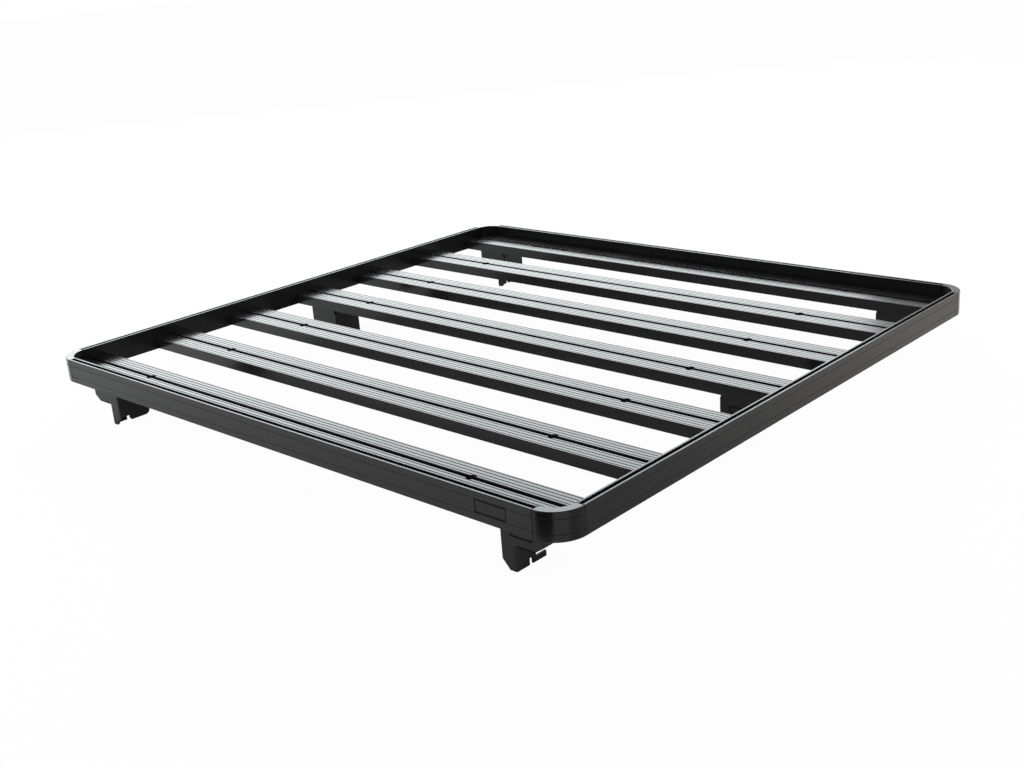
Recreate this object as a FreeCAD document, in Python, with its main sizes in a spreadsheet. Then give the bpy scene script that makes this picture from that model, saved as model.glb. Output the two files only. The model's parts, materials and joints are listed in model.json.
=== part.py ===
import FreeCAD, Part
import math
import os
import Sketcher

# Flat slatted rack tray for a truck bed: a frame of four slotted rails and four rounded corners
# carries seven slotted slats, and six bent plate feet bolted under the slats carry the tray.
# Frame: +X to the right, +Y to the rear, +Z up, origin on the floor below the tray's centre.
# All sizes are in millimetres.

SIZES = [
    ("tray_width", 1425.0),          # over the outer faces of the side rails
    ("tray_length", 1358.0),         # over the outer faces of the front and rear rails
    ("rail_height", 49.5),
    ("rail_wall", 1.7),
    ("rail_edge", 0.8),              # bevel of the rail's long top edges
    ("corner_radius", 56.0),         # outer radius of a corner, and its leg along each rail
    ("corner_wall", 3.0),
    ("joint_gap", 0.4),              # rail end to corner
    ("face_groove_width", 1.2),
    ("face_groove_depth", 0.6),
    ("upper_groove_drop", 12.0),     # rail top to the middle of the upper face groove
    ("lower_groove_drop", 36.5),     # rail top to the middle of the lower face groove
    ("bolt_diameter", 8.0),
    ("slot_clearance", 0.2),         # slot mouth over the bolt shank
    ("bolt_head_width", 13.0),       # across flats
    ("head_clearance", 0.6),         # slot channel over the bolt head
    ("bolt_head_height", 5.3),
    ("slot_lip", 2.5),               # thickness of the lips beside a slot mouth
    ("slot_bevel", 1.3),             # bevel of the edges of a slat's slot mouths
    ("slot_channel_depth", 6.5),
    ("slat_width", 82.0),
    ("slat_edge", 0.8),              # bevel of the slat's long top edges
    ("slat_wall", 2.2),
    ("slat_web", 5.0),               # between the upper and the lower slot channel
    ("seat_clearance", 0.3),         # end slat to the inside of a corner
    ("slat_lift", 2.7),              # slat underside over rail underside
    ("end_gap", 15.0),               # inner face of the front rail to the first slat
    ("rib_groove_width", 2.0),
    ("rib_groove_depth", 0.9),
    ("notch_clearance", 3.6),        # notch in a slat's slot over the bolt head's corners
    ("notch_inset", 233.5),          # slat end to the middle of a notch
    ("foot_drop", 94.7),             # floor to slat underside
    ("foot_plate", 4.0),             # thickness of the foot's plate
    ("foot_inset", 53.5),            # side rail's inner face to the foot's outer edge
    ("foot_setback", 4.0),           # slat's front edge to the front of the foot
    ("foot_width", 89.5),
    ("foot_leg_width", 31.5),
    ("foot_ear_drop", 50.2),         # slat underside to the lower edge of the foot's wide part
    ("ear_chamfer_run", 19.0),
    ("ear_chamfer_rise", 13.0),
    ("toe_chamfer_run", 17.0),
    ("toe_chamfer_rise", 18.5),
    ("neck_run", 9.0),               # cut-back of the foot's inner top corner
    ("neck_drop", 12.0),
    ("flange_notch_run", 7.0),       # cut-back of the inner flange behind the neck
    ("flange_top_drop", 2.0),        # slat to the top of the inner flange
    ("bend_inset", 1.0),             # plate thickness less the outer radius of the foot's bends
    ("inner_flange_depth", 71.0),    # foot's front face to the rear edge of the inner flange
    ("outer_flange_depth", 97.0),
    ("outer_flange_clearance", 2.0), # outer flange behind the slat to the bottom of the rear rail
    ("lobe_offset", 26.0),           # foot's front face to the inner flange's lower lobe
    ("lobe_floor", 7.5),             # floor to the lobe
    ("lobe_radius", 11.0),
    ("tab_depth", 69.5),             # foot's front face to the rear edge of the leg's tab
    ("hook_entry_offset", 34.0),     # foot's front face to the middle of the hook slot's entry
    ("hook_slot_width", 8.0),
    ("hook_entry_height", 11.5),
    ("hook_root", 7.0),              # entry to the blind end of the hook's rear slit
    ("hook_floor", 9.5),             # floor to the lower side of the rear slit
    ("hook_slit_height", 6.0),
    ("panel_width", 46.0),           # outlined panel on the foot's front face
    ("panel_height", 15.0),
    ("panel_inset", 22.0),           # foot's outer edge to the panel
    ("panel_drop", 18.7),            # slat underside to the panel
    ("panel_line_width", 2.6),
    ("panel_line_depth", 2.4),
    ("foot_bolt_first", 26.0),       # foot's outer edge to its first bolt
    ("foot_bolt_spacing", 38.0),
    ("foot_hole_clearance", 0.5),
    ("nut_height", 6.5),
    ("nut_clearance", 0.2),
    ("bolt_tail", 3.0),              # shank below the nut
    ("badge_width", 65.0),
    ("badge_thickness", 1.0),
    ("badge_margin", 0.3),           # badge to the face grooves above and below it
    ("badge_gap", 0.4),              # badge to the edge of its recess
    ("badge_inset", 52.0),           # right end of the front rail to the badge
]

SLAT_COUNT = 7
RIB_GROOVES = 4                      # fine grooves on each half of a slat's top
FOOT_SLATS = {"front": 1, "middle": 4, "rear": 7}
SIDES = {"left": -1, "right": 1}
HEX_SIDES = 6

doc = FreeCAD.newDocument("truck_bed_rack")
sheet = doc.addObject("Spreadsheet::Sheet", "rack")
for row, (alias, number) in enumerate(SIZES, start=1):
    sheet.set("A%d" % row, alias)
    sheet.set("B%d" % row, str(number))
    sheet.setAlias("B%d" % row, alias)
doc.recompute()


class Length:
    """A length in millimetres together with the sheet expression that drives it."""

    def __init__(self, value, text):
        self.value = value
        self.text = text

    def __add__(self, other):
        other = length(other)
        return Length(self.value + other.value, "(%s + %s)" % (self.text, other.text))

    def __sub__(self, other):
        other = length(other)
        return Length(self.value - other.value, "(%s - %s)" % (self.text, other.text))

    def __mul__(self, factor):
        return Length(self.value * factor, "(%s * %r)" % (self.text, factor))

    def __truediv__(self, factor):
        return Length(self.value / factor, "(%s / %r)" % (self.text, factor))

    def __neg__(self):
        return self * -1


def length(thing):
    """A Length from a Length or a plain number."""
    if isinstance(thing, Length):
        return thing
    return Length(float(thing), repr(float(thing)))


class Sizes:
    """The sheet's sizes by name, as Lengths."""

    def __getattr__(self, alias):
        return Length(float(sheet.get(alias)), "rack.%s" % alias)


size = Sizes()

# Sizes and places that follow from the driving ones
slot_mouth = size.bolt_diameter + size.slot_clearance
slot_channel = size.bolt_head_width + size.head_clearance
rail_width = slot_channel + size.rail_wall * 2
slot_floor_drop = size.slot_lip + size.slot_channel_depth
slat_height = slot_floor_drop * 2 + size.slat_web
rail_bottom = size.foot_drop - size.slat_lift
rail_top = rail_bottom + size.rail_height
slat_bottom = size.foot_drop
slat_top = slat_bottom + slat_height
half_width = size.tray_width / 2
half_length = size.tray_length / 2
slat_length = size.tray_width - rail_width * 2
first_slat = half_length - rail_width - size.end_gap - size.slat_width / 2
slat_pitch = first_slat * 2 / (SLAT_COUNT - 1)
foot_front = -(size.slat_width / 2 - size.foot_setback)
foot_outer = half_width - rail_width - size.foot_inset
foot_inner = foot_outer - size.foot_width
foot_fold = foot_inner + size.foot_leg_width
flange_bottom = slat_bottom - size.foot_plate
hex_radius = size.bolt_head_width / (2 * math.cos(math.pi / HEX_SIDES))
notch_diameter = hex_radius * 2 + size.notch_clearance
ear_bottom = slat_bottom - size.foot_ear_drop
outer_flange_bottom = ear_bottom + size.ear_chamfer_rise
inner_flange_bottom = size.toe_chamfer_rise
rail_inset = size.corner_radius + size.joint_gap
bend_radius = size.foot_plate - size.bend_inset
inner_flange_top = slat_bottom - size.neck_drop


def slat_place(number):
    """Middle of a slat along Y; slat 1 is at the front."""
    return slat_pitch * (number - 1) - first_slat


def bind(thing, path, expression):
    """Drive one property of a document object by a Length."""
    thing.setExpression(path, length(expression).text)


def new_body(label):
    body = doc.addObject("PartDesign::Body", label)
    body.Label = label
    return body


def origin_feature(body, role):
    for feature in body.Origin.OriginFeatures:
        if feature.Role == role:
            return feature


def new_sketch(body, name, role, offset):
    """An empty sketch on one of the body's origin planes, moved along its normal."""
    sketch = body.newObject("Sketcher::SketchObject", name)
    sketch.AttachmentSupport = [(origin_feature(body, role), "")]
    sketch.MapMode = "FlatFace"
    bind(sketch, "AttachmentOffset.Base.z", offset)
    return sketch


def drive(sketch, constraints):
    """Add (constraint, Length) pairs to a sketch at once; a Length of None stays undriven."""
    first = sketch.ConstraintCount
    sketch.addConstraint([constraint for constraint, place in constraints])
    for index, (constraint, place) in enumerate(constraints, start=first):
        if place is not None:
            bind(sketch, "Constraints[%d]" % index, place)


def point_at(geometry, point, x, y):
    """Constraints that hold one point of a sketch at x, y."""
    return [
        (Sketcher.Constraint("DistanceX", -1, 1, geometry, point, x.value), x),
        (Sketcher.Constraint("DistanceY", -1, 1, geometry, point, y.value), y),
    ]


def draw_loop(sketch, points):
    """A closed loop of straight lines through the points."""
    points = [(length(x), length(y)) for x, y in points]
    corners = [FreeCAD.Vector(x.value, y.value, 0) for x, y in points]
    lines = [Part.LineSegment(a, b) for a, b in zip(corners, corners[1:] + corners[:1])]
    first = sketch.addGeometry(lines, False)[0]
    count = len(lines)
    constraints = []
    for i, (x, y) in enumerate(points):
        join = Sketcher.Constraint("Coincident", first + i, 2, first + (i + 1) % count, 1)
        constraints.append((join, None))
        constraints += point_at(first + i, 1, x, y)
    drive(sketch, constraints)


def draw_circle(sketch, x, y, diameter):
    x, y = length(x), length(y)
    circle = Part.Circle(FreeCAD.Vector(x.value, y.value, 0), FreeCAD.Vector(0, 0, 1), diameter.value / 2)
    geometry = sketch.addGeometry(circle, False)
    across = Sketcher.Constraint("Diameter", geometry, diameter.value)
    drive(sketch, point_at(geometry, 3, x, y) + [(across, diameter)])


def pad(body, sketch, name, depth, middle=False, reverse=False):
    feature = body.newObject("PartDesign::Pad", name)
    feature.Profile = sketch
    bind(feature, "Length", depth)
    feature.SideType = "Symmetric" if middle else "One side"
    feature.Reversed = reverse
    return feature


def pocket(body, sketch, name, depth, reverse=False):
    feature = body.newObject("PartDesign::Pocket", name)
    feature.Profile = sketch
    bind(feature, "Length", depth)
    feature.Reversed = reverse
    return feature


def place_at(thing, x, y, z):
    for axis, value in (("x", x), ("y", y), ("z", z)):
        bind(thing, "Placement.Base." + axis, value)


def shaft(name, x, y, z, diameter, height):
    cylinder = doc.addObject("Part::Cylinder", name)
    bind(cylinder, "Radius", diameter / 2)
    bind(cylinder, "Height", height)
    place_at(cylinder, x, y, z)
    return cylinder


def round_edges(body, base, name, radius, wanted):
    """Round the edges of a feature whose middle point passes the test."""
    doc.recompute()
    names = []
    for number, edge in enumerate(base.Shape.Edges, start=1):
        if wanted(edge.BoundBox):
            names.append("Edge%d" % number)
    feature = body.newObject("PartDesign::Fillet", name)
    feature.Base = (base, names)
    bind(feature, "Radius", radius)
    return feature


def face_groove(start, inward, drop):
    """Four points of a groove across the outer face, from its lower to its upper side."""
    low = rail_top - drop - size.face_groove_width / 2
    high = low + size.face_groove_width
    deep = start + size.face_groove_depth * inward
    return [(start, low), (deep, low), (deep, high), (start, high)]


def rail_section(outer, inward):
    """Outline and hollow of a slotted rail; outer is its outer face, inward the way to the inside."""
    def across(distance):
        return outer + length(distance) * inward

    lip_bottom = rail_top - size.slot_lip
    floor = rail_top - slot_floor_drop
    mouth_near = (rail_width - slot_mouth) / 2
    mouth_far = mouth_near + slot_mouth
    channel_far = rail_width - size.rail_wall
    outline = [(outer, rail_bottom)]
    outline += face_groove(outer, inward, size.lower_groove_drop)
    outline += face_groove(outer, inward, size.upper_groove_drop)
    outline += [
        (outer, rail_top - size.rail_edge),
        (across(size.rail_edge), rail_top),
        (across(mouth_near), rail_top),
        (across(mouth_near), lip_bottom),
        (across(size.rail_wall), lip_bottom),
        (across(size.rail_wall), floor),
        (across(channel_far), floor),
        (across(channel_far), lip_bottom),
        (across(mouth_far), lip_bottom),
        (across(mouth_far), rail_top),
        (across(rail_width - size.rail_edge), rail_top),
        (across(rail_width), rail_top - size.rail_edge),
        (across(rail_width), rail_bottom),
    ]
    hollow_bottom = rail_bottom + size.rail_wall
    hollow_top = floor - size.rail_wall
    hollow = [
        (across(size.rail_wall), hollow_bottom),
        (across(channel_far), hollow_bottom),
        (across(channel_far), hollow_top),
        (across(size.rail_wall), hollow_top),
    ]
    return outline, hollow


def make_rail(label, role, outer, inward, run):
    body = new_body(label)
    sketch = new_sketch(body, label + "_section", role, 0)
    for loop in rail_section(outer, inward):
        draw_loop(sketch, loop)
    pad(body, sketch, label + "_run", run, middle=True)
    return body


def make_rails():
    across_run = size.tray_width - rail_inset * 2
    along_run = size.tray_length - rail_inset * 2
    front = make_rail("front_rail", "YZ_Plane", -half_length, 1, across_run)
    recess = new_sketch(front, "badge_recess_outline", "XZ_Plane", half_length)
    draw_loop(recess, badge_outline(size.badge_gap))
    pocket(front, recess, "badge_recess", size.badge_thickness)
    rear = make_rail("rear_rail", "YZ_Plane", half_length, -1, across_run)
    left = make_rail("left_rail", "XZ_Plane", -half_width, 1, along_run)
    right = make_rail("right_rail", "XZ_Plane", half_width, -1, along_run)
    return [front, rear, left, right]


def badge_outline(margin):
    """The badge's rectangle on the front face between the two face grooves, grown by a margin."""
    edge = size.face_groove_width / 2 + size.badge_margin + size.badge_gap - margin
    low = rail_top - size.lower_groove_drop + edge
    high = rail_top - size.upper_groove_drop - edge
    right = half_width - rail_inset - size.badge_inset + margin
    left = right - size.badge_width - margin * 2
    return [(left, low), (right, low), (right, high), (left, high)]


def make_badge():
    body = new_body("blank_badge")
    sketch = new_sketch(body, "badge_outline", "XZ_Plane", half_length)
    draw_loop(sketch, badge_outline(length(0)))
    pad(body, sketch, "badge_plate", size.badge_thickness, reverse=True)
    return body


def corner_section():
    """Outline and hollow of a corner, with the radius as the first coordinate."""
    outer = size.corner_radius
    inner = outer - rail_width
    outline = [(outer, rail_bottom)]
    outline += face_groove(outer, -1, size.lower_groove_drop)
    outline += face_groove(outer, -1, size.upper_groove_drop)
    outline += [
        (outer, rail_top - size.rail_edge),
        (outer - size.rail_edge, rail_top),
        (inner + size.rail_edge, rail_top),
        (inner, rail_top - size.rail_edge),
        (inner, rail_bottom),
    ]
    hollow = [
        (inner + size.corner_wall, rail_bottom + size.corner_wall),
        (outer - size.corner_wall, rail_bottom + size.corner_wall),
        (outer - size.corner_wall, rail_top - size.corner_wall),
        (inner + size.corner_wall, rail_top - size.corner_wall),
    ]
    return outline, hollow


def make_corner(label, side, end, turn):
    """A quarter turn of the corner section about its own centre, set at its place in the tray."""
    body = new_body(label)
    sketch = new_sketch(body, label + "_section", "XZ_Plane", 0)
    for loop in corner_section():
        draw_loop(sketch, loop)
    bend = body.newObject("PartDesign::Revolution", label + "_bend")
    bend.Profile = sketch
    bend.ReferenceAxis = (origin_feature(body, "Z_Axis"), [""])
    bend.Angle = 90
    body.Placement = FreeCAD.Placement(FreeCAD.Vector(), FreeCAD.Rotation(FreeCAD.Vector(0, 0, 1), turn))
    bind(body, "Placement.Base.x", (half_width - size.corner_radius) * side)
    bind(body, "Placement.Base.y", (half_length - size.corner_radius) * end)
    return body


def make_corners():
    return [
        make_corner("corner_rear_right", 1, 1, 0),
        make_corner("corner_rear_left", -1, 1, 90),
        make_corner("corner_front_left", -1, -1, 180),
        make_corner("corner_front_right", 1, -1, 270),
    ]


def slot_steps(mouth_height, up):
    """Points of a slot in a slat's face, from -Y to +Y; up is 1 for the upper face."""
    lip = mouth_height - size.slot_lip * up
    floor = mouth_height - slot_floor_drop * up
    bevel = mouth_height - size.slot_bevel * up
    return [
        (-slot_mouth / 2 - size.slot_bevel, mouth_height),
        (-slot_mouth / 2, bevel),
        (-slot_mouth / 2, lip),
        (-slot_channel / 2, lip),
        (-slot_channel / 2, floor),
        (slot_channel / 2, floor),
        (slot_channel / 2, lip),
        (slot_mouth / 2, lip),
        (slot_mouth / 2, bevel),
        (slot_mouth / 2 + size.slot_bevel, mouth_height),
    ]


def rib_steps(side):
    """Points of the fine grooves on one half of a slat's top, from -Y to +Y."""
    land_start = slot_mouth / 2 + size.slot_bevel
    pitch = (size.slat_width / 2 - land_start) / RIB_GROOVES
    numbers = range(RIB_GROOVES, 0, -1) if side < 0 else range(1, RIB_GROOVES + 1)
    deep = slat_top - size.rib_groove_depth
    points = []
    for number in numbers:
        middle = (land_start + pitch * (number - 0.5)) * side
        low = middle - size.rib_groove_width / 2
        high = middle + size.rib_groove_width / 2
        points += [(low, slat_top), (low, deep), (high, deep), (high, slat_top)]
    return points


def slat_section():
    """Outline and two hollows of a slat, with Y as the first coordinate."""
    half = size.slat_width / 2
    edge = size.slat_edge
    outline = [(-half, slat_bottom), (-half, slat_top - edge), (-half + edge, slat_top)]
    outline += rib_steps(-1) + slot_steps(slat_top, 1) + rib_steps(1)
    outline += [(half - edge, slat_top), (half, slat_top - edge), (half, slat_bottom)]
    outline += reversed(slot_steps(slat_bottom, -1))
    hollows = []
    near = slot_channel / 2 + size.slat_wall
    far = half - size.slat_wall
    for side in (-1, 1):
        hollows.append([
            (near * side, slat_bottom + size.slat_wall),
            (far * side, slat_bottom + size.slat_wall),
            (far * side, slat_top - size.slat_wall - size.rib_groove_depth),
            (near * side, slat_top - size.slat_wall - size.rib_groove_depth),
        ])
    return [outline] + hollows


def make_slat_section():
    """The section that all slats share, upright across Y and Z."""
    sketch = doc.addObject("Sketcher::SketchObject", "slat_section")
    sketch.Placement.Rotation = FreeCAD.Rotation(0.5, 0.5, 0.5, 0.5)
    for loop in slat_section():
        draw_loop(sketch, loop)
    return sketch


def corner_clearance(name, side, end, turn):
    """The room a corner takes inside the frame, with a little play, as a quarter ring."""
    centre = ((half_width - size.corner_radius) * side, (half_length - size.corner_radius) * end)
    bottom = slat_bottom - size.slat_lift
    height = slat_height + size.slat_lift * 2
    ring = doc.addObject("Part::Cut", name)
    inner = size.corner_radius - rail_width - size.seat_clearance
    ring.Base = shaft(name + "_outer", *centre, bottom, (size.corner_radius + rail_width) * 2, height)
    ring.Tool = shaft(name + "_inner", *centre, bottom, inner * 2, height)
    for sector in (ring.Base, ring.Tool):
        sector.Angle = 90
        sector.Placement.Rotation = FreeCAD.Rotation(FreeCAD.Vector(0, 0, 1), turn)
    return ring


def make_slat(number, section):
    """A run of the slat section with two round notches, cut back where a corner is in its way."""
    label = "slat_%d" % number
    run = doc.addObject("Part::Extrusion", label + "_run")
    run.Base = section
    run.DirMode = "Normal"
    run.Solid = True
    run.Symmetric = True
    bind(run, "LengthFwd", slat_length)
    bind(run, "Placement.Base.y", slat_place(number))
    cutters = []
    for side, where in ((-1, "left"), (1, "right")):
        x = (slat_length / 2 - size.notch_inset) * side
        cutters.append(shaft("%s_notch_%s" % (label, where), x, slat_place(number), slat_top - size.slot_lip,
                             notch_diameter, size.slot_lip))
    if number == 1:
        cutters.append(corner_clearance(label + "_clearance_left", -1, -1, 180))
        cutters.append(corner_clearance(label + "_clearance_right", 1, -1, 270))
    if number == SLAT_COUNT:
        cutters.append(corner_clearance(label + "_clearance_left", -1, 1, 90))
        cutters.append(corner_clearance(label + "_clearance_right", 1, 1, 0))
    tools = doc.addObject("Part::Compound", label + "_cutters")
    tools.Links = cutters
    slat = doc.addObject("Part::Cut", label)
    slat.Label = label
    slat.Base = run
    slat.Tool = tools
    return slat


def make_slats():
    section = make_slat_section()
    return [make_slat(number, section) for number in range(1, SLAT_COUNT + 1)]


def foot_plate_outline(side):
    """Front view of a foot: a wide ear at the top and a narrow leg on its inner side."""
    return [
        (foot_fold * side, 0),
        (foot_fold * side, ear_bottom),
        ((foot_outer - size.ear_chamfer_run) * side, ear_bottom),
        (foot_outer * side, outer_flange_bottom),
        (foot_outer * side, slat_bottom),
        ((foot_inner + size.neck_run) * side, slat_bottom),
        (foot_inner * side, inner_flange_top),
        (foot_inner * side, inner_flange_bottom),
        ((foot_inner + size.toe_chamfer_run) * side, 0),
    ]


def foot_tab_outline():
    """Side view of the leg's tab: an entry from below, and a toe under a slit that is open at the rear."""
    entry_near = foot_front + size.hook_entry_offset - size.hook_slot_width / 2
    entry_far = entry_near + size.hook_slot_width
    slit_end = entry_far + size.hook_root
    slit_top = size.hook_floor + size.hook_slit_height
    rear = foot_front + size.tab_depth
    return [
        (foot_front, 0),
        (entry_near, 0),
        (entry_near, size.hook_entry_height),
        (entry_far, size.hook_entry_height),
        (entry_far, 0),
        (rear, 0),
        (rear, size.hook_floor),
        (slit_end, size.hook_floor),
        (slit_end, slit_top),
        (rear, slit_top),
        (rear, ear_bottom),
        (foot_front, ear_bottom),
    ]


def inner_flange_outline():
    """Side view of the flange along the foot's inner edge, with a lobe at its lower rear."""
    lobe_front = foot_front + size.lobe_offset
    rear = foot_front + size.inner_flange_depth
    return [
        (foot_front, inner_flange_bottom),
        (lobe_front, inner_flange_bottom),
        (lobe_front, size.lobe_floor),
        (rear, size.lobe_floor),
        (rear, slat_bottom - size.flange_top_drop),
        (foot_front + size.flange_notch_run, slat_bottom - size.flange_top_drop),
        (foot_front, inner_flange_top),
    ]


def outer_flange_outline():
    """Side view of the flange along the foot's outer edge, which reaches back past the slat."""
    rear = foot_front + size.outer_flange_depth
    step = rail_bottom - size.outer_flange_clearance
    return [
        (foot_front, outer_flange_bottom),
        (rear, outer_flange_bottom),
        (rear, step),
        (size.slat_width / 2, step),
        (size.slat_width / 2, slat_bottom),
        (foot_front, slat_bottom),
    ]


def panel_loops(side):
    """Outer and inner loop of the line around the panel on the foot's front face."""
    high = slat_bottom - size.panel_drop
    low = high - size.panel_height
    far = foot_outer - size.panel_inset
    near = far - size.panel_width
    line = size.panel_line_width
    return [
        [(near * side, low), (far * side, low), (far * side, high), (near * side, high)],
        [((near + line) * side, low + line), ((far - line) * side, low + line),
         ((far - line) * side, high - line), ((near + line) * side, high - line)],
    ]


def foot_bolt_places(side):
    """Bolt middles along X in one foot, from its outer edge inwards."""
    first = foot_outer - size.foot_bolt_first
    return [first * side, (first - size.foot_bolt_spacing) * side]


def make_foot(label, side, slat):
    body = new_body(label)
    front = new_sketch(body, label + "_front_outline", "XZ_Plane", -foot_front)
    draw_loop(front, foot_plate_outline(side))
    pad(body, front, label + "_front", size.foot_plate, reverse=True)
    walls = (
        ("_tab", foot_fold, foot_tab_outline(), side > 0),
        ("_inner_flange", foot_inner, inner_flange_outline(), side < 0),
        ("_outer_flange", foot_outer, outer_flange_outline(), side > 0),
    )
    for name, place, loop, reverse in walls:
        wall = new_sketch(body, label + name + "_outline", "YZ_Plane", place * side)
        draw_loop(wall, loop)
        pad(body, wall, label + name, size.foot_plate, reverse=reverse)
    top = new_sketch(body, label + "_top_outline", "XY_Plane", flange_bottom)
    inner = (foot_inner + size.neck_run) * side
    rear = size.slat_width / 2
    draw_loop(top, [
        (inner, foot_front),
        (foot_outer * side, foot_front),
        (foot_outer * side, rear),
        (inner, rear),
    ])
    base = pad(body, top, label + "_top", size.foot_plate)
    base = round_edges(body, base, label + "_bends", bend_radius, lambda box: is_bend(box, side))
    base = round_edges(body, base, label + "_flange_corner", size.lobe_radius,
                       lambda box: is_flange_corner(box, side))
    holes = new_sketch(body, label + "_hole_outline", "XY_Plane", slat_bottom)
    for place in foot_bolt_places(side):
        draw_circle(holes, place, 0, size.bolt_diameter + size.foot_hole_clearance)
    pocket(body, holes, label + "_holes", size.foot_plate)
    if side > 0:
        panel = new_sketch(body, label + "_panel_outline", "XZ_Plane", -foot_front)
        for loop in panel_loops(side):
            draw_loop(panel, loop)
        pocket(body, panel, label + "_panel", size.panel_line_depth)
    bind(body, "Placement.Base.y", slat_place(slat))
    return body


def near(first, second):
    return abs(first - second) < 0.01


def is_bend(box, side):
    """An upright edge of the front face where the plate bends back into a wall."""
    spans = (
        (foot_fold, 0.0, ear_bottom.value),
        (foot_inner, inner_flange_bottom.value, inner_flange_top.value),
        (foot_outer, outer_flange_bottom.value, slat_bottom.value),
    )
    if not (near(box.YMin, foot_front.value) and near(box.YMax, foot_front.value)):
        return False
    for place, low, high in spans:
        if near(box.Center.x, place.value * side) and near(box.ZMin, low) and near(box.ZMax, high):
            return True
    return False


def is_flange_corner(box, side):
    """The lower rear corner of the inner flange."""
    middle = (foot_inner.value + size.foot_plate.value / 2) * side
    rear = (foot_front + size.inner_flange_depth).value
    across = near(box.Center.x, middle) and near(box.XLength, size.foot_plate.value)
    return across and near(box.Center.y, rear) and near(box.Center.z, size.lobe_floor.value)


def hexagon(name, x, y, z, height):
    prism = doc.addObject("Part::Prism", name)
    prism.Polygon = HEX_SIDES
    bind(prism, "Circumradius", hex_radius)
    bind(prism, "Height", height)
    place_at(prism, x, y, z)
    return prism


def make_bolt(name, x, y):
    """Head in the slat's lower slot channel, shank down through the slot, the flange and the nut."""
    seat = slat_bottom + size.slot_lip
    shank = size.slot_lip + size.foot_plate + size.nut_height + size.bolt_tail
    bolt = doc.addObject("Part::Fuse", name)
    bolt.Base = hexagon(name + "_head", x, y, seat, size.bolt_head_height)
    bolt.Tool = shaft(name + "_shank", x, y, seat - shank, size.bolt_diameter, shank)
    return bolt


def make_nut(name, x, y):
    """Hexagon nut against the underside of the foot's flange."""
    bottom = flange_bottom - size.nut_height
    nut = doc.addObject("Part::Cut", name)
    nut.Base = hexagon(name + "_body", x, y, bottom, size.nut_height)
    nut.Tool = shaft(name + "_bore", x, y, bottom, size.bolt_diameter + size.nut_clearance, size.nut_height)
    return nut


def make_fasteners(side_name, side):
    """All foot bolts of one side as one sub-part, and their nuts as another."""
    bolts = []
    nuts = []
    for where, slat in FOOT_SLATS.items():
        for number, x in enumerate(foot_bolt_places(side), start=1):
            name = "%s_%s_%d" % (where, side_name, number)
            bolts.append(make_bolt("bolt_" + name, x, slat_place(slat)))
            nuts.append(make_nut("nut_" + name, x, slat_place(slat)))
    groups = []
    for label, pieces in (("foot_bolts_" + side_name, bolts), ("foot_nuts_" + side_name, nuts)):
        group = doc.addObject("Part::Compound", label)
        group.Label = label
        group.Links = pieces
        groups.append(group)
    return groups


def make_feet():
    feet = []
    for side_name, side in SIDES.items():
        for where, slat in FOOT_SLATS.items():
            feet.append(make_foot("foot_%s_%s" % (where, side_name), side, slat))
        feet += make_fasteners(side_name, side)
    return feet


sub_parts = make_rails() + [make_badge()] + make_corners()
sub_parts += make_slats()
sub_parts += make_feet()
doc.recompute()

for thing in doc.Objects:
    if "Invalid" in thing.State or "Error" in thing.State:
        raise RuntimeError("%s did not compute: %s" % (thing.Name, thing.State))
for thing in sub_parts:
    if thing.Shape.isNull() or not thing.Shape.isValid():
        raise RuntimeError("%s has no valid shape" % thing.Label)

os.makedirs("parts", exist_ok=True)
for thing in sub_parts:
    thing.Shape.exportStep("parts/%s.step" % thing.Label)
    box = thing.Shape.BoundBox
    print("%-20s solids %d  volume %.0f  x %.1f %.1f  y %.1f %.1f  z %.1f %.1f" % (
        thing.Label, len(thing.Shape.Solids), thing.Shape.Volume,
        box.XMin, box.XMax, box.YMin, box.YMax, box.ZMin, box.ZMax))
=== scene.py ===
import json
import math

import bpy
from mathutils import Matrix, Vector


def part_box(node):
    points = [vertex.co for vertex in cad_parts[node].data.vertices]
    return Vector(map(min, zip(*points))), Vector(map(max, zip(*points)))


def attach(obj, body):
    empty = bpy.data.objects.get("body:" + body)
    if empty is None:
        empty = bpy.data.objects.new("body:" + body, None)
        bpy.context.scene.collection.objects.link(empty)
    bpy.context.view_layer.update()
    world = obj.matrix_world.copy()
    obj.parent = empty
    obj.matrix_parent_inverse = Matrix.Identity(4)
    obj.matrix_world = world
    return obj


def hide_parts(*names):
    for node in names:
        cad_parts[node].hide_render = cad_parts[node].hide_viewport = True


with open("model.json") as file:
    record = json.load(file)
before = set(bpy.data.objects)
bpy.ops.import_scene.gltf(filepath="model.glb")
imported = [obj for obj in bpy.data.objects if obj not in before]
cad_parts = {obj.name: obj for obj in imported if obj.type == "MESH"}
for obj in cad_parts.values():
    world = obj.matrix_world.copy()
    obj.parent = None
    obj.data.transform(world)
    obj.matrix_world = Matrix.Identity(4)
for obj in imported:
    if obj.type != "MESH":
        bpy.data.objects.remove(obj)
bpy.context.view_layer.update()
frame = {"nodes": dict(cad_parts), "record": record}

# All lengths are in metres.

# Camera, solved from the photograph's rail and slat lines
CAMERA_PLACE = Vector((1.820469, -1.910336, 0.944404))
CAMERA_AZIMUTH = math.radians(43.840)
CAMERA_ELEVATION = math.radians(19.714)
CAMERA_ROLL = math.radians(-4.394)
CAMERA_FOCAL_PIXELS = 1281.889
IMAGE_WIDTH = 1024
SENSOR_WIDTH = 36.0

# Heights and places of the feet's fasteners, as in the part's source
SLAT_SLOT_FLOOR = 0.0972
FOOT_TOP_UNDER = 0.0907
NUT_LOW = 0.0842
BOLT_END = 0.0812
BOLT_COLUMNS = (0.578, 0.616)
FOOT_ROWS = (-0.606, 0.0, 0.606)

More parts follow.
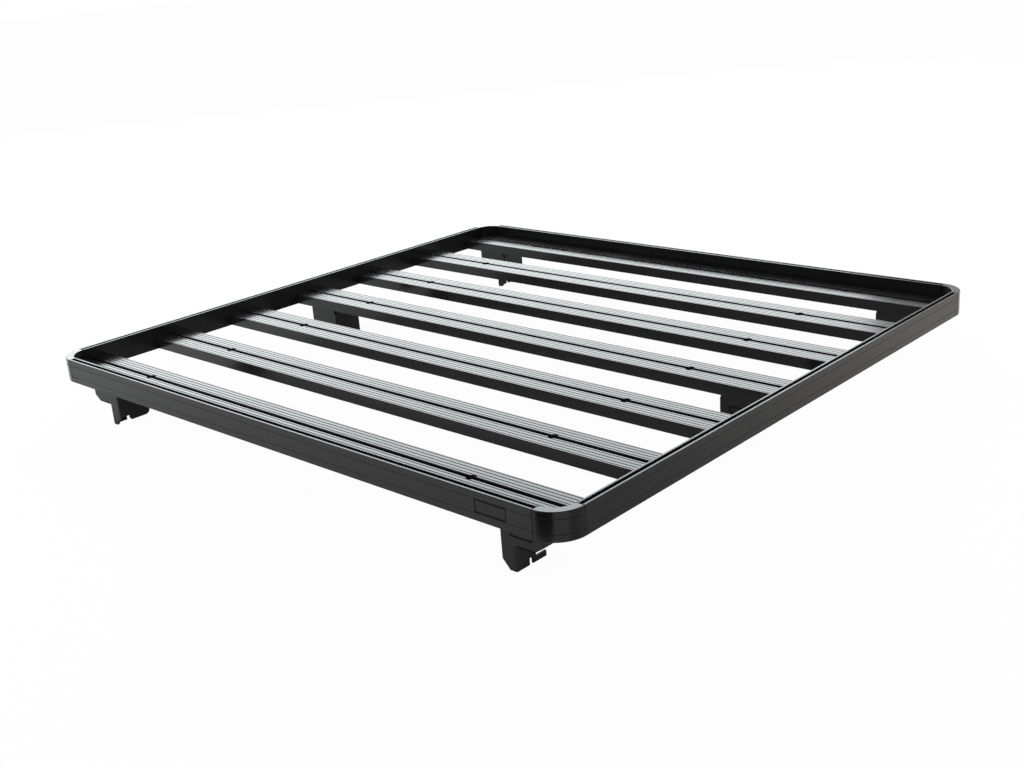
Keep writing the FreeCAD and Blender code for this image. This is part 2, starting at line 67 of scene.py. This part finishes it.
# Sizes of one fastener
BOLT_RADIUS = 0.004
BOLT_HEAD_HEIGHT = 0.0053
BOLT_POINT_LENGTH = 0.0006
THREAD_PITCH = 0.00125
THREAD_ROOT = 0.86             # root radius as a share of the bolt's radius
HEXAGON_FLATS = 0.013
HEXAGON_RIM = 0.0007
HEAD_OVERLAP = 0.0002
NUT_TOP_GAP = 0.0003           # nut's hexagon to the top of its skirt
NUT_BORE_RADIUS = 0.0041
NUT_BORE_OVERRUN = 0.002
SKIRT_RADIUS = 0.0086
SKIRT_HEIGHT = 0.0014
SKIRT_RIM = 0.0006

# Badge plate
BADGE_CORNER = 0.0018
BADGE_FRONT_EDGE = 0.00025
BADGE_RIM = 0.0009
BADGE_SLOPE = 0.0003
BADGE_SINK = 0.0003

# Dark marks: dark lines at the corner joints, painted shade along the lower edge of the feet's ears, dirt
# on the rim of the badge
CORNER_START_X = 0.6565
CORNER_START_Y = 0.623
JOINT_LINE = (0.0008, 0.0016)  # width of the full dark line, and where it ends
EAR_START = 0.5865
EAR_FADE = 0.001
EAR_BOTTOM = 0.0445
# painted shade under the ear's edge: width of the full dark band, and where it ends
EAR_SHADE_BAND = (0.0026, 0.0032)
RIM_DIRT = (0.0014, 0.002)
# colour and roughness of the dark marks: the badge's dirt, the joint lines and the painted shade under the
# ears
DIRT_AND_SHADE_COLOUR = (0.001, 0.001, 0.001, 1.0)
DIRT_AND_SHADE_ROUGHNESS = 0.95

# Powder coat
PATCH_SCALE = 9.0
GRAIN_SCALE = 420.0
GRAIN_DEPTH = 0.0002
PATCH_RANGE = (0.3, 0.7)
COAT_TONES = (0.8, 1.25)
COAT_SHEEN_VARIES = 0.03

# Plated steel
STREAK_SCALE = 160.0
PLATED_TONES = (0.7, 1.2)
PLATED_SHEEN_VARIES = 0.08

# Studio
FLOOR_SIZE = 40.0
FLOOR_HEIGHT = -0.0005
FLOOR_TONES = (0.86, 0.9)
FLOOR_WHITE_SHARE = 0.96       # the rest shows the object's shadow
BACKDROP_DIRECTION = (-0.69, 0.72, 0.0)
PLAIN_WORLD = 0.7
# painted shade on the floor, seen only in reflections: dark bands at the slats' pitch
SLAT_PITCH = 0.202
DARKEST_BEFORE_SLAT = 0.132
SHADE_HEIGHT = 0.001
# tones of the painted shade on the floor and of the painted dark reflection
PAINTED_SHADE_TONE = 0.004
PAINTED_REFLECTION_TONE = 0.002

# Sockets of the Mix node, where several share a name
MIX_SHARE = 0
MIX_NUMBERS = (2, 3)
MIX_COLOURS = (6, 7)
MIX_NUMBER_OUT = 0
MIX_COLOUR_OUT = 2


def make_camera():
    data = bpy.data.cameras.new("photo_camera")
    data.sensor_fit = "HORIZONTAL"
    data.sensor_width = SENSOR_WIDTH
    data.lens = CAMERA_FOCAL_PIXELS / IMAGE_WIDTH * SENSOR_WIDTH
    data.clip_start = 0.05
    data.clip_end = 100.0
    camera = bpy.data.objects.new("photo_camera", data)
    bpy.context.scene.collection.objects.link(camera)
    ahead = Vector((
        -math.sin(CAMERA_AZIMUTH) * math.cos(CAMERA_ELEVATION),
        math.cos(CAMERA_AZIMUTH) * math.cos(CAMERA_ELEVATION),
        -math.sin(CAMERA_ELEVATION),
    ))
    level = Vector((math.cos(CAMERA_AZIMUTH), math.sin(CAMERA_AZIMUTH), 0.0))
    above = level.cross(ahead)
    right = level * math.cos(CAMERA_ROLL) + above * math.sin(CAMERA_ROLL)
    up = above * math.cos(CAMERA_ROLL) - level * math.sin(CAMERA_ROLL)
    turn = Matrix((right, up, -ahead)).transposed().to_4x4()
    camera.matrix_world = Matrix.Translation(CAMERA_PLACE) @ turn
    bpy.context.scene.camera = camera


class Tree:
    """A node tree, with short ways to add, feed and join nodes."""

    def __init__(self, tree):
        self.tree = tree
        self.tree.nodes.clear()

    def add(self, kind, **values):
        node = self.tree.nodes.new(kind)
        for key, value in values.items():
            setattr(node, key, value)
        return node

    def set(self, node, **values):
        for key, value in values.items():
            node.inputs[key.replace("_", " ")].default_value = value

    def join(self, source, node, entry):
        """Lead an output socket into an entry of a node."""
        self.tree.links.new(source, node.inputs[entry])

    def feed(self, node, entry, value):
        """Lead a socket into an entry, or set the entry to a plain value."""
        if isinstance(value, bpy.types.NodeSocket):
            self.join(value, node, entry)
        else:
            node.inputs[entry].default_value = value

    def place(self, kind="Object"):
        return self.add("ShaderNodeTexCoord").outputs[kind]

    def axes(self, place):
        """The X, Y and Z of a place."""
        parts = self.add("ShaderNodeSeparateXYZ")
        self.join(place, parts, 0)
        return parts.outputs

    def maths(self, operation, *values):
        node = self.add("ShaderNodeMath", operation=operation)
        for entry, value in enumerate(values):
            self.feed(node, entry, value)
        return node.outputs["Value"]

    def noise(self, place, scale, detail=4.0, roughness=0.55):
        node = self.add("ShaderNodeTexNoise")
        self.set(node, Scale=scale, Detail=detail, Roughness=roughness)
        self.join(place, node, "Vector")
        return node.outputs["Fac"]

    def spread(self, source, low, high, at_low, at_high):
        """Map a signal from low..high to at_low..at_high, and hold it there beyond."""
        node = self.add("ShaderNodeMapRange")
        self.set(node, From_Min=low, From_Max=high, To_Min=at_low, To_Max=at_high)
        self.join(source, node, "Value")
        return node.outputs["Result"]

    def mix_numbers(self, share, first, second):
        node = self.add("ShaderNodeMix", data_type="FLOAT")
        self.join(share, node, MIX_SHARE)
        for entry, value in zip(MIX_NUMBERS, (first, second)):
            self.feed(node, entry, value)
        return node.outputs[MIX_NUMBER_OUT]

    def mix_colours(self, share, first, second):
        node = self.add("ShaderNodeMix", data_type="RGBA")
        self.join(share, node, MIX_SHARE)
        for entry, value in zip(MIX_COLOURS, (first, second)):
            self.feed(node, entry, value)
        return node.outputs[MIX_COLOUR_OUT]

    def mix_shaders(self, share, first, second):
        node = self.add("ShaderNodeMixShader")
        self.join(share, node, 0)
        self.join(first, node, 1)
        self.join(second, node, 2)
        return node.outputs["Shader"]


class Finish(Tree):
    """A new material and its node tree."""

    def __init__(self, name):
        self.material = bpy.data.materials.new(name)
        self.material.use_nodes = True
        super().__init__(self.material.node_tree)

    def show(self, shader):
        self.join(shader, self.add("ShaderNodeOutputMaterial"), "Surface")


def tone(tint, share):
    return tuple(part * share for part in tint) + (1.0,)


def joint_dark_line(nodes, place):
    """1 on the strip of a corner that meets a rail, where a dark line is drawn, 0 elsewhere."""
    axes = nodes.axes(place)
    past_x = nodes.maths("SUBTRACT", nodes.maths("ABSOLUTE", axes["X"]), CORNER_START_X)
    past_y = nodes.maths("SUBTRACT", nodes.maths("ABSOLUTE", axes["Y"]), CORNER_START_Y)
    nearest = nodes.maths("MINIMUM", past_x, past_y)
    return nodes.spread(nearest, *JOINT_LINE, 1.0, 0.0)


def ear_painted_shade(nodes, place):
    """Painted shade: 1 along the lower edge of a foot's wide ear, where a thin dark line of shadow is
    painted, 0 elsewhere.
    """
    axes = nodes.axes(place)
    outward = nodes.maths("ABSOLUTE", axes["X"])
    beyond_fold = nodes.spread(outward, EAR_START, EAR_START + EAR_FADE, 0.0, 1.0)
    full, end = EAR_SHADE_BAND
    near_edge = nodes.spread(axes["Z"], EAR_BOTTOM + full, EAR_BOTTOM + end, 1.0, 0.0)
    return nodes.maths("MULTIPLY", beyond_fold, near_edge)


def rim_dirt(nodes, place):
    """1 along the outline of the badge plate, 0 on its face."""
    low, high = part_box("blank_badge")
    axes = nodes.axes(place)
    depths = []
    for axis, index in (("X", 0), ("Z", 2)):
        off_middle = nodes.maths("SUBTRACT", axes[axis], (low[index] + high[index]) / 2)
        outward = nodes.maths("ABSOLUTE", off_middle)
        depths.append(nodes.maths("SUBTRACT", (high[index] - low[index]) / 2, outward))
    return nodes.spread(nodes.maths("MINIMUM", *depths), *RIM_DIRT, 1.0, 0.0)


def coat(name, tint, rough, grain, edge=0.0006, specular=0.38, dirt_and_shade=None):
    """Satin black powder coat: fine grain, patchy tone and sheen, softened edges, and dark marks where a
    mask gives them (dirt on the badge's rim, dark lines at the corner joints, painted shade under the
    feet's ears).
    """
    nodes = Finish(name)
    place = nodes.place()
    surface = nodes.add("ShaderNodeBsdfPrincipled")
    nodes.set(surface, Specular_IOR_Level=specular)
    patches = nodes.noise(place, PATCH_SCALE, detail=5.0)
    darker, lighter = (tone(tint, share) for share in COAT_TONES)
    colour = nodes.mix_colours(nodes.spread(patches, *PATCH_RANGE, 0.0, 1.0), darker, lighter)
    sheen = nodes.spread(patches, *PATCH_RANGE, rough - COAT_SHEEN_VARIES, rough + COAT_SHEEN_VARIES)
    # dark marks, painted shade among them: the masked strip is darkened and made rough
    if dirt_and_shade:
        dirt_shade_share = dirt_and_shade(nodes, place)
        colour = nodes.mix_colours(dirt_shade_share, colour, DIRT_AND_SHADE_COLOUR)
        sheen = nodes.mix_numbers(dirt_shade_share, sheen, DIRT_AND_SHADE_ROUGHNESS)
    nodes.join(colour, surface, "Base Color")
    nodes.join(sheen, surface, "Roughness")
    soft_edges = nodes.add("ShaderNodeBevel", samples=4)
    nodes.set(soft_edges, Radius=edge)
    bump = nodes.add("ShaderNodeBump")
    nodes.set(bump, Strength=grain, Distance=GRAIN_DEPTH)
    nodes.join(nodes.noise(place, GRAIN_SCALE, detail=3.0), bump, "Height")
    nodes.join(soft_edges.outputs["Normal"], bump, "Normal")
    nodes.join(bump.outputs["Normal"], surface, "Normal")
    nodes.show(surface.outputs["BSDF"])
    return nodes.material


def plated(name, tint, rough):
    """Dark zinc plated steel with faint streaks."""
    nodes = Finish(name)
    surface = nodes.add("ShaderNodeBsdfPrincipled")
    nodes.set(surface, Metallic=1.0)
    streaks = nodes.noise(nodes.place(), STREAK_SCALE)
    darker, lighter = (tone(tint, share) for share in PLATED_TONES)
    nodes.join(nodes.mix_colours(streaks, darker, lighter), surface, "Base Color")
    sheen = nodes.spread(streaks, *PATCH_RANGE, rough - PLATED_SHEEN_VARIES, rough + PLATED_SHEEN_VARIES)
    nodes.join(sheen, surface, "Roughness")
    nodes.show(surface.outputs["BSDF"])
    return nodes.material


def paint_cad(materials):
    """Give each CAD node the material of its record slot."""
    for entry in frame["record"]["subparts"]:
        piece = frame["nodes"][entry["node"]]
        piece.data.materials.clear()
        piece.data.materials.append(materials[entry["material_slot"]])


def take(piece):
    """Make one piece the only selected and active one."""
    bpy.ops.object.select_all(action="DESELECT")
    piece.select_set(True)
    bpy.context.view_layer.objects.active = piece


def edit_faces(piece, wanted):
    """Go into edit mode with only the wanted faces selected."""
    take(piece)
    bpy.ops.object.mode_set(mode="EDIT")
    bpy.ops.mesh.select_mode(type="FACE")
    bpy.ops.mesh.select_all(action="DESELECT")
    bpy.ops.object.mode_set(mode="OBJECT")
    for face in piece.data.polygons:
        face.select = wanted(face)
    bpy.ops.object.mode_set(mode="EDIT")


def edit_edges(piece, wanted):
    """Go into edit mode with only the wanted edges selected."""
    take(piece)
    bpy.ops.object.mode_set(mode="EDIT")
    bpy.ops.mesh.select_mode(type="EDGE")
    bpy.ops.mesh.select_all(action="DESELECT")
    bpy.ops.object.mode_set(mode="OBJECT")
    points = piece.data.vertices
    for edge in piece.data.edges:
        edge.select = wanted(points[edge.vertices[0]].co, points[edge.vertices[1]].co)
    bpy.ops.object.mode_set(mode="EDIT")


def done_editing(piece):
    bpy.ops.object.mode_set(mode="OBJECT")
    take(piece)


def round_bar(name, radius, low, high, sides=40):
    """A turned bar on the Z axis between two heights."""
    bpy.ops.object.select_all(action="DESELECT")
    bpy.ops.mesh.primitive_cylinder_add(vertices=sides, radius=radius, depth=high - low,
                                        location=(0.0, 0.0, (low + high) / 2))
    bar = bpy.context.object
    bar.name = name
    bpy.ops.object.transform_apply(location=True, rotation=True, scale=True)
    return bar


def cut(piece, tool, how):
    """Join, cut or trim a piece with a tool, and throw the tool away."""
    take(piece)
    step = piece.modifiers.new(how.lower(), "BOOLEAN")
    step.operation = how
    step.solver = "EXACT"
    step.object = tool
    bpy.ops.object.modifier_apply(modifier=step.name)
    bpy.data.objects.remove(tool)


def chamfer_rim(bar, height, size):
    """Bevel the round rim of a bar at one height."""
    edit_edges(bar, lambda a, b: abs(a.z - height) < 1e-6 and abs(b.z - height) < 1e-6)
    bpy.ops.mesh.bevel(offset=size, segments=1)
    done_editing(bar)


def hexagon_bar(name, low, high):
    """A hexagon bar with its corners turned off at both ends, one corner along X."""
    corner = HEXAGON_FLATS / math.sqrt(3.0)
    bpy.ops.object.select_all(action="DESELECT")
    bpy.ops.mesh.primitive_cylinder_add(vertices=6, radius=corner, depth=high - low,
                                        location=(0.0, 0.0, (low + high) / 2),
                                        rotation=(0.0, 0.0, math.radians(30.0)))
    bar = bpy.context.object
    bar.name = name
    bpy.ops.object.transform_apply(location=True, rotation=True, scale=True)
    turned = round_bar(name + "_turning", corner * 1.002, low, high, sides=60)
    chamfer_rim(turned, high, HEXAGON_RIM)
    chamfer_rim(turned, low, HEXAGON_RIM)
    cut(bar, turned, "INTERSECT")
    return bar


def pull_up(height):
    """Extrude the selected top face upwards."""
    bpy.ops.mesh.extrude_region_move(TRANSFORM_OT_translate={"value": (0.0, 0.0, height)})


def widen(share):
    """Scale the selected top face sideways."""
    bpy.ops.transform.resize(value=(share, share, 1.0))


def threaded_bar(name, radius, low, high):
    """A bar with a chamfered lower end and thread ridges, worked upwards from its lower face."""
    bar = round_bar(name, radius * THREAD_ROOT, low, low + BOLT_POINT_LENGTH, sides=32)
    edit_faces(bar, lambda face: face.normal.z > 0.9)
    ridges = int((high - low - BOLT_POINT_LENGTH) / THREAD_PITCH) - 1
    for _ in range(ridges):
        pull_up(THREAD_PITCH * 0.4)
        widen(1.0 / THREAD_ROOT)
        pull_up(THREAD_PITCH * 0.15)
        pull_up(THREAD_PITCH * 0.4)
        widen(THREAD_ROOT)
        pull_up(THREAD_PITCH * 0.05)
    widen(1.0 / THREAD_ROOT)
    done_editing(bar)
    top = max(point.co.z for point in bar.data.vertices)
    edit_faces(bar, lambda face: face.normal.z > 0.9 and face.center.z > top - 1e-6)
    pull_up(high - top)
    done_editing(bar)
    return bar


def set_out(piece, name, places, node, finish):
    """Copy one modelled fastener to its places, as one piece that stands for a CAD node."""
    copies = []
    for place in places:
        take(piece)
        bpy.ops.object.duplicate()
        copy = bpy.context.object
        copy.location = place
        bpy.ops.object.transform_apply(location=True, rotation=True, scale=True)
        copies.append(copy)
    bpy.ops.object.select_all(action="DESELECT")
    for copy in copies:
        copy.select_set(True)
    bpy.context.view_layer.objects.active = copies[0]
    bpy.ops.object.join()
    row = bpy.context.object
    row.name = name
    bpy.ops.object.shade_smooth_by_angle(angle=math.radians(32.0))
    row.data.materials.clear()
    row.data.materials.append(finish)
    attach(row, "root")
    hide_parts(node)


def make_bolt():
    bolt = threaded_bar("slot_bolt", BOLT_RADIUS, BOLT_END, SLAT_SLOT_FLOOR)
    head = hexagon_bar("slot_bolt_head", SLAT_SLOT_FLOOR - HEAD_OVERLAP, SLAT_SLOT_FLOOR + BOLT_HEAD_HEIGHT)
    cut(bolt, head, "UNION")
    return bolt


def make_nut():
    nut = hexagon_bar("flange_nut", NUT_LOW, FOOT_TOP_UNDER - NUT_TOP_GAP)
    skirt_low = FOOT_TOP_UNDER - SKIRT_HEIGHT
    skirt = round_bar("flange_nut_skirt", SKIRT_RADIUS, skirt_low, FOOT_TOP_UNDER, sides=60)
    chamfer_rim(skirt, skirt_low, SKIRT_RIM)
    cut(nut, skirt, "UNION")
    bore = round_bar("flange_nut_bore", NUT_BORE_RADIUS, NUT_LOW - NUT_BORE_OVERRUN,
                     FOOT_TOP_UNDER + NUT_BORE_OVERRUN)
    cut(nut, bore, "DIFFERENCE")
    return nut


def make_fasteners(finish):
    """Slot bolts and flanged nuts that hold the feet under the slats."""
    bolt = make_bolt()
    nut = make_nut()
    for side, sign in (("left", -1.0), ("right", 1.0)):
        places = [(sign * x, y, 0.0) for x in BOLT_COLUMNS for y in FOOT_ROWS]
        set_out(bolt, "slot_bolts_" + side, places, "foot_bolts_" + side, finish)
        set_out(nut, "flange_nuts_" + side, places, "foot_nuts_" + side, finish)
    bpy.data.objects.remove(bolt)
    bpy.data.objects.remove(nut)


def make_badge(finish):
    """Blank badge plate: rounded corners, a raised rim and a sunk plain face."""
    low, high = (Vector(corner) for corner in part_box("blank_badge"))
    span = high - low
    bpy.ops.object.select_all(action="DESELECT")
    bpy.ops.mesh.primitive_cube_add(size=1.0, location=(low + high) / 2)
    plate = bpy.context.object
    plate.name = "badge_plate"
    plate.scale = span
    bpy.ops.object.transform_apply(location=True, rotation=True, scale=True)
    edit_edges(plate, lambda a, b: abs(a.y - b.y) > span.y / 2)
    bpy.ops.mesh.bevel(offset=BADGE_CORNER, segments=5)
    done_editing(plate)
    edit_faces(plate, lambda face: face.normal.y < -0.9)
    bpy.ops.mesh.bevel(offset=BADGE_FRONT_EDGE, segments=2)
    done_editing(plate)
    edit_faces(plate, lambda face: face.normal.y < -0.9 and face.area > span.x * span.z * 0.5)
    bpy.ops.mesh.inset(thickness=BADGE_RIM)
    bpy.ops.mesh.inset(thickness=BADGE_SLOPE)
    bpy.ops.transform.translate(value=(0.0, BADGE_SINK, 0.0))
    done_editing(plate)
    bpy.ops.object.shade_smooth_by_angle(angle=math.radians(30.0))
    plate.data.materials.clear()
    plate.data.materials.append(finish)
    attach(plate, "root")
    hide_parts("blank_badge")


def make_floor():
    """White paper floor, seen by the camera as white with a trace of the object's shadow."""
    bpy.ops.object.select_all(action="DESELECT")
    bpy.ops.mesh.primitive_plane_add(size=FLOOR_SIZE, location=(0, 0, FLOOR_HEIGHT))
    floor = bpy.context.object
    floor.name = "floor"
    nodes = Finish("floor_paper")
    path = nodes.add("ShaderNodeLightPath")
    paper = nodes.add("ShaderNodeBsdfDiffuse")
    fibres = nodes.noise(nodes.place(), 3.0)
    nodes.join(nodes.spread(fibres, 0.0, 1.0, *FLOOR_TONES), paper, "Color")
    white = nodes.add("ShaderNodeEmission")
    nodes.set(white, Color=(1, 1, 1, 1), Strength=1.0)
    share = nodes.maths("MULTIPLY", path.outputs["Is Camera Ray"], FLOOR_WHITE_SHARE)
    nodes.show(nodes.mix_shaders(share, paper.outputs["BSDF"], white.outputs["Emission"]))
    floor.data.materials.append(nodes.material)


def make_world():
    """White backdrop round the horizon, brightest at the back left, under a dark ceiling."""
    world = bpy.data.worlds.new("studio")
    bpy.context.scene.world = world
    world.use_nodes = True
    nodes = Tree(world.node_tree)
    path = nodes.add("ShaderNodeLightPath")
    direction = nodes.place("Generated")
    ceiling = nodes.spread(nodes.axes(direction)["Z"], 0.5, 0.7, 1.0, 0.1)
    toward = nodes.add("ShaderNodeVectorMath", operation="DOT_PRODUCT")
    toward.inputs[1].default_value = BACKDROP_DIRECTION
    nodes.join(direction, toward, 0)
    back = nodes.spread(toward.outputs["Value"], -0.3, 0.4, 0.3, 1.0)
    backdrop = nodes.maths("MULTIPLY", ceiling, back)
    mirrored = nodes.mix_numbers(path.outputs["Is Glossy Ray"], PLAIN_WORLD, backdrop)
    background = nodes.add("ShaderNodeBackground")
    nodes.set(background, Color=(1, 1, 1, 1))
    nodes.join(nodes.mix_numbers(path.outputs["Is Camera Ray"], mirrored, 1.0), background, "Strength")
    nodes.join(background.outputs["Background"], nodes.add("ShaderNodeOutputWorld"), "Surface")


def new_card(name):
    """A card that only mirror-like surfaces see, for painted shade and painted reflections."""
    bpy.ops.object.select_all(action="DESELECT")
    bpy.ops.mesh.primitive_plane_add(size=1.0)
    card = bpy.context.object
    card.name = name
    card.visible_camera = False
    card.visible_diffuse = False
    card.visible_transmission = False
    card.visible_shadow = False
    return card


def cover_with_painted_dark(card, nodes, share, dark_tone):
    """Paint a share of a card dark for painted shade and painted reflections, and leave the rest clear."""
    clear = nodes.add("ShaderNodeBsdfTransparent")
    dark_sheet = nodes.add("ShaderNodeBsdfDiffuse")
    nodes.set(dark_sheet, Color=(dark_tone, dark_tone, dark_tone, 1.0))
    nodes.show(nodes.mix_shaders(share, clear.outputs["BSDF"], dark_sheet.outputs["BSDF"]))
    card.data.materials.append(nodes.material)


def make_reflection_card(name, place, turn, width, height):
    """Painted dark reflection: an upright black card, seen only in reflections, that thins out towards its
    left edge.
    """
    flag = new_card(name)
    flag.scale = (width, height, 1.0)
    flag.rotation_euler = (math.radians(90.0), 0.0, turn)
    flag.location = place
    nodes = Finish(name + "_dark_card")
    across = nodes.axes(nodes.place())["X"]
    cover_with_painted_dark(flag, nodes, nodes.spread(across, -0.5, -0.22, 0.0, 1.0), PAINTED_REFLECTION_TONE)


def make_floor_shade(name, middle, width, length, fade, stripes=1.0):
    """Painted shade on the floor: a dark card that only reflections show.

    fade gives an axis, where the fade starts and ends along it, and the share of painted dark at both.
    stripes below 1 thin the painted dark between the dark bands, one of which lies before each slat as its
    painted shadow.
    """
    shade = new_card(name)
    shade.scale = (width, length, 1.0)
    shade.location = (*middle, SHADE_HEIGHT)
    bpy.ops.object.transform_apply(location=True, rotation=False, scale=True)
    nodes = Finish(name + "_dark_card")
    axes = nodes.axes(nodes.place())
    fade_axis, start, end, at_start, at_end = fade
    faded = nodes.spread(axes[fade_axis], start, end, at_start, at_end)
    turns = 2.0 * math.pi / SLAT_PITCH
    wave = nodes.maths("COSINE", nodes.maths("MULTIPLY_ADD", axes["Y"], turns, turns * DARKEST_BEFORE_SLAT))
    bands = nodes.spread(wave, -1.0, 1.0, stripes, 1.0)
    cover_with_painted_dark(shade, nodes, nodes.maths("MULTIPLY", faded, bands), PAINTED_SHADE_TONE)


def make_lamp(name, place, aim, width, height, power, colour=(1.0, 1.0, 1.0), mirrored=True):
    """A rectangular softbox that points at its aim."""
    data = bpy.data.lights.new(name, "AREA")
    data.shape = "RECTANGLE"
    data.size = width
    data.size_y = height
    data.energy = power
    data.color = colour
    lamp = bpy.data.objects.new(name, data)
    bpy.context.scene.collection.objects.link(lamp)
    lamp.location = place
    lamp.rotation_euler = (Vector(aim) - Vector(place)).to_track_quat("-Z", "Y").to_euler()
    lamp.visible_camera = False
    lamp.visible_glossy = mirrored


BLACK = (0.009, 0.009, 0.0094)
materials = {
    "rail_coat": coat("rail_coat", tint=BLACK, rough=0.26, grain=0.05),
    "slat_coat": coat("slat_coat", tint=BLACK, rough=0.17, grain=0.04, edge=0.0004),
    "corner_coat": coat("corner_coat", tint=(0.006, 0.006, 0.0062), rough=0.2, grain=0.06, edge=0.001,
                        specular=0.42, dirt_and_shade=joint_dark_line),
    # the feet's coat carries a painted shade line along the lower edge of each ear
    "foot_coat": coat("foot_coat", tint=(0.01, 0.01, 0.01), rough=0.36, grain=0.12, edge=0.0008,
                      dirt_and_shade=ear_painted_shade),
    "bolt_steel": plated("bolt_steel", tint=(0.2, 0.2, 0.21), rough=0.4),
    "badge_plate": coat("badge_plate", tint=(0.006, 0.006, 0.0065), rough=0.3, grain=0.05, dirt_and_shade=rim_dirt),
}
paint_cad(materials)
make_fasteners(materials["bolt_steel"])
make_badge(materials["badge_plate"])
make_floor()
make_world()
make_lamp("back_softbox", place=(-3.45, 2.89, 2.0), aim=(0, 0, 0.1), width=5.5, height=2.6, power=150.0,
          colour=(0.92, 0.978, 1.0))
make_lamp("front_fill", place=(-0.9, -1.9, 1.1), aim=(-0.75, -1.15, 0.0), width=1.0, height=0.6, power=7.0,
          mirrored=False)
make_lamp("right_fill", place=(1.9, 0.9, 1.0), aim=(1.15, 0.75, 0.0), width=0.7, height=0.7, power=8.0,
          colour=(1.0, 0.86, 0.76), mirrored=False)
# painted shade: dark cards on the floor, seen only in reflections, under the rack and along its right side
make_floor_shade("under_shade", middle=(0.0, 0.1), width=1.34, length=1.5,
                 fade=("X", -0.45, 0.35, 0.68, 0.4), stripes=0.1)
make_floor_shade("right_shade", middle=(0.94, -0.1), width=0.36, length=1.2,
                 fade=("Y", -0.6, 0.4, 0.5, 0.0))
# painted dark reflection: a band on the near corner, from an upright card seen only in reflections
make_reflection_card("corner_painted_reflection", place=(0.655, -0.86, 0.08), turn=math.radians(4.0), width=0.27, height=0.16)
make_camera()
bpy.context.scene.view_settings.view_transform = "Standard"
